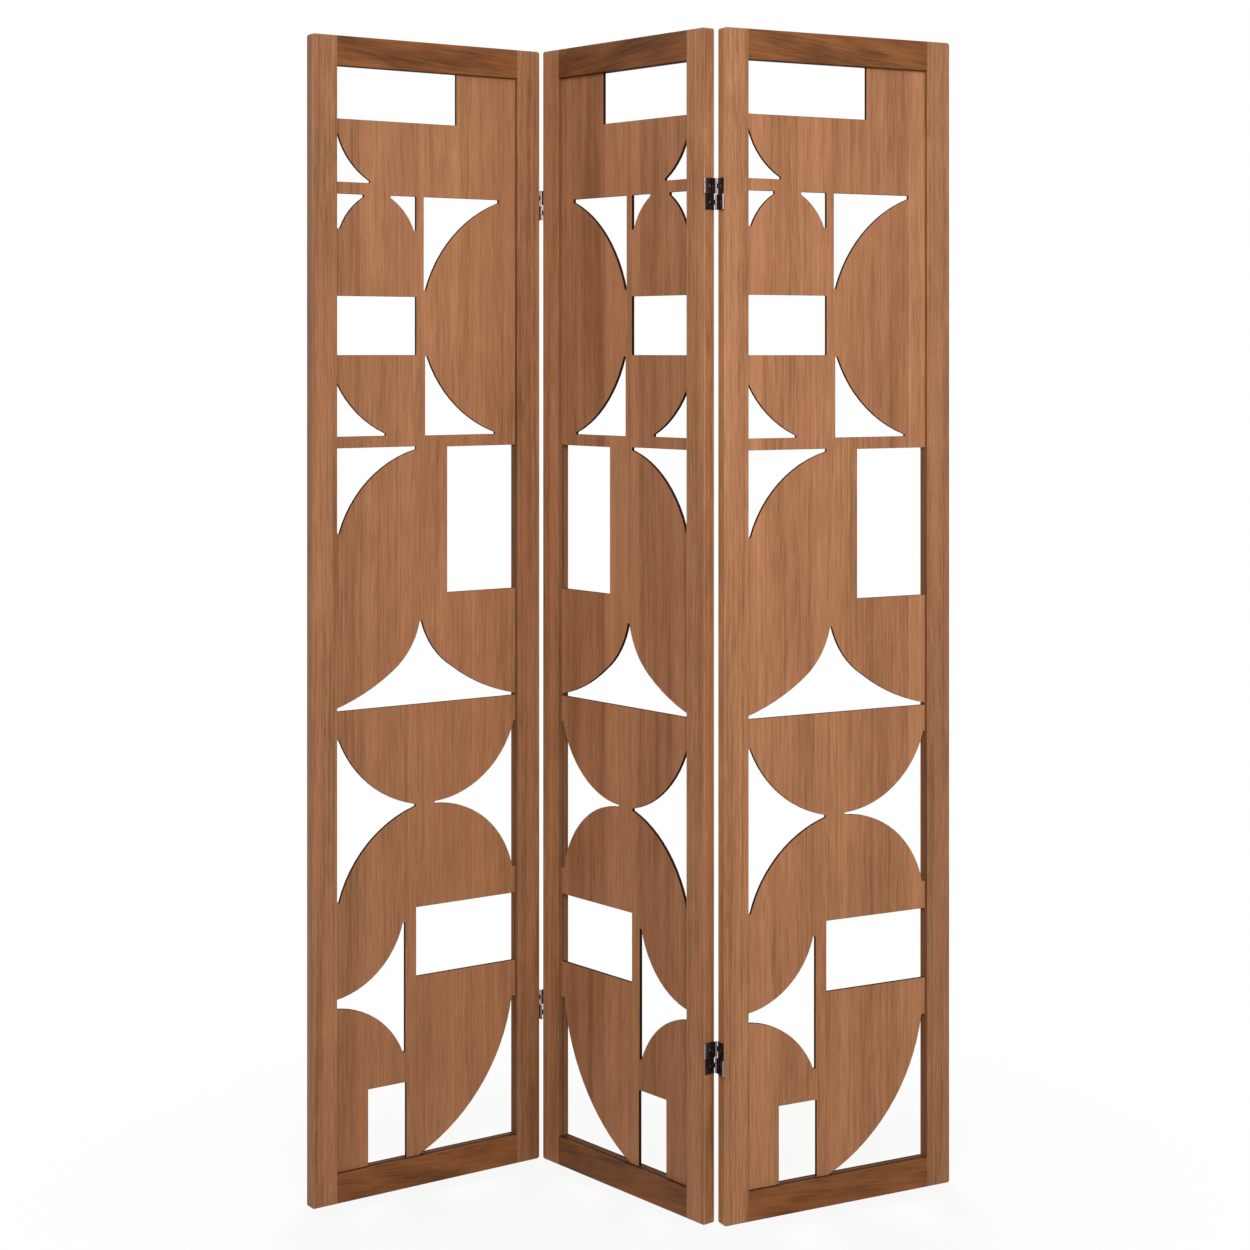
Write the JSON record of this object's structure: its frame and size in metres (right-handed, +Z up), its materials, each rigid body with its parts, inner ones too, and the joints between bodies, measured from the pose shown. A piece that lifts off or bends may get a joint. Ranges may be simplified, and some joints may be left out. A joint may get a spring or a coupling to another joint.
{
  "type": "folding screen",
  "caption": "Folding screen standing in a zigzag: framed wooden leaves, each with a thin pierced insert of arcs and rectangles, joined by small double-action hinges.",
  "frame": {"origin": "on the floor, in the middle of the zigzag's plan", "axes": "+Z up, +X to the right of a viewer who stands in front and looks along +Y"},
  "size_m": [0.9959, 0.337, 1.8],
  "materials": {
    "stile_wood": "satin oiled walnut-brown veneer, grain along the length",
    "rail_wood": "satin oiled walnut-brown veneer, cathedral grain along the length",
    "insert_wood": "satin veneered thin board, fine upright grain, dark cut edges",
    "dowel_wood": "plain beech",
    "hinge_metal": "dark bronzed, satin",
    "pin_metal": "plain steel",
    "screw_metal": "dark bronzed, satin"
  },
  "bodies": {
    "middle_panel": {"middle_panel_left_stile": "stile_wood", "middle_panel_right_stile": "stile_wood", "middle_panel_top_rail": "rail_wood", "middle_panel_bottom_rail": "rail_wood", "middle_panel_dowels": "dowel_wood", "middle_panel_pierced_insert": "insert_wood", "left_fold_lower_hinge_right_leaf": "hinge_metal", "left_fold_lower_hinge_right_screws": "screw_metal", "left_fold_lower_hinge_upper_link": "hinge_metal", "left_fold_lower_hinge_upper_pins": "pin_metal", "left_fold_upper_hinge_right_leaf": "hinge_metal", "left_fold_upper_hinge_right_screws": "screw_metal", "left_fold_upper_hinge_upper_link": "hinge_metal", "left_fold_upper_hinge_upper_pins": "pin_metal", "right_fold_lower_hinge_left_leaf": "hinge_metal", "right_fold_lower_hinge_left_screws": "screw_metal", "right_fold_lower_hinge_upper_link": "hinge_metal", "right_fold_lower_hinge_upper_pins": "pin_metal", "right_fold_upper_hinge_left_leaf": "hinge_metal", "right_fold_upper_hinge_left_screws": "screw_metal", "right_fold_upper_hinge_upper_link": "hinge_metal", "right_fold_upper_hinge_upper_pins": "pin_metal"},
    "left_panel": {"left_panel_left_stile": "stile_wood", "left_panel_right_stile": "stile_wood", "left_panel_top_rail": "rail_wood", "left_panel_bottom_rail": "rail_wood", "left_panel_dowels": "dowel_wood", "left_panel_pierced_insert": "insert_wood", "left_fold_lower_hinge_left_leaf": "hinge_metal", "left_fold_lower_hinge_left_screws": "screw_metal", "left_fold_lower_hinge_lower_link": "hinge_metal", "left_fold_lower_hinge_lower_pins": "pin_metal", "left_fold_upper_hinge_left_leaf": "hinge_metal", "left_fold_upper_hinge_left_screws": "screw_metal", "left_fold_upper_hinge_lower_link": "hinge_metal", "left_fold_upper_hinge_lower_pins": "pin_metal"},
    "right_panel": {"right_panel_left_stile": "stile_wood", "right_panel_right_stile": "stile_wood", "right_panel_top_rail": "rail_wood", "right_panel_bottom_rail": "rail_wood", "right_panel_dowels": "dowel_wood", "right_panel_pierced_insert": "insert_wood", "right_fold_lower_hinge_right_leaf": "hinge_metal", "right_fold_lower_hinge_right_screws": "screw_metal", "right_fold_lower_hinge_lower_link": "hinge_metal", "right_fold_lower_hinge_lower_pins": "pin_metal", "right_fold_upper_hinge_right_leaf": "hinge_metal", "right_fold_upper_hinge_right_screws": "screw_metal", "right_fold_upper_hinge_lower_link": "hinge_metal", "right_fold_upper_hinge_lower_pins": "pin_metal"}
  },
  "joints": [
    {"name": "left_fold", "type": "hinge", "parent": "middle_panel", "child": "left_panel", "pos_m": [-0.15558, 0.14857, 0.9], "axis": [0, 0, 1], "range_deg": [-85, 95]},
    {"name": "right_fold", "type": "hinge", "parent": "middle_panel", "child": "right_panel", "pos_m": [0.13096, -0.14692, 0.9], "axis": [0, 0, 1], "range_deg": [-78, 102]}
  ]
}
